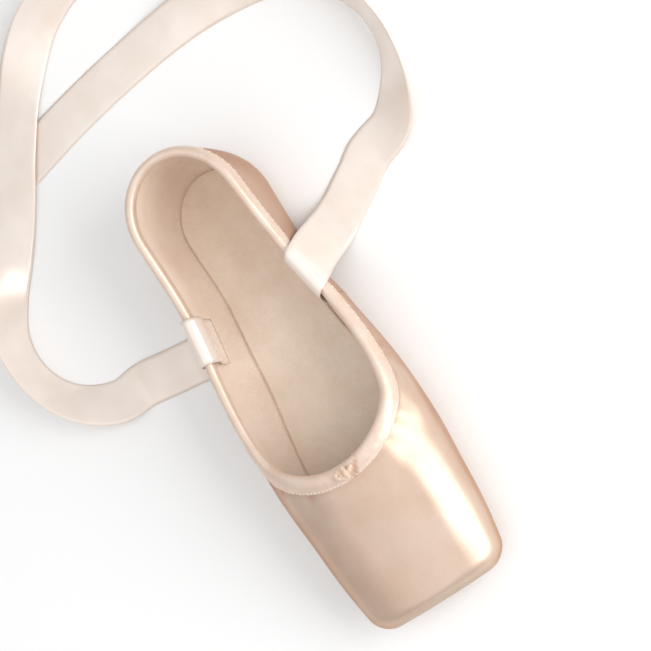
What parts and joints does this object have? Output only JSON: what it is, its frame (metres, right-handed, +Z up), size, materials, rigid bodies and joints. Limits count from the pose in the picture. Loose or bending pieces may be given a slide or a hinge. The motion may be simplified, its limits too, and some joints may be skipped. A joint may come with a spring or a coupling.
{
  "type": "pointe shoe",
  "caption": "Satin pointe shoe with a stiff flat-ended toe box, bound collar with drawstring knot, narrow leather sole and satin ankle ribbons lying on the floor.",
  "frame": {"origin": "on the floor under the middle of the shoe without its ribbons", "axes": "+X from heel to toe, +Y to the shoe's left, +Z up"},
  "size_m": [0.3454, 0.2471, 0.0556],
  "materials": {
    "satin": "pale peach satin, soft gloss",
    "sole_leather": "tan leather, matt",
    "sock_canvas": "cotton canvas",
    "binding_satin": "pale peach satin tape",
    "cord_cotton": "cream cotton cord",
    "ribbon_satin": "ivory pink double-faced satin"
  },
  "bodies": {
    "root": {"upper": "satin", "outsole": "sole_leather", "insole": "sock_canvas", "binding": "binding_satin", "drawstring_knot": "cord_cotton", "ribbon_left": "ribbon_satin", "ribbon_right": "ribbon_satin"}
  },
  "joints": []
}
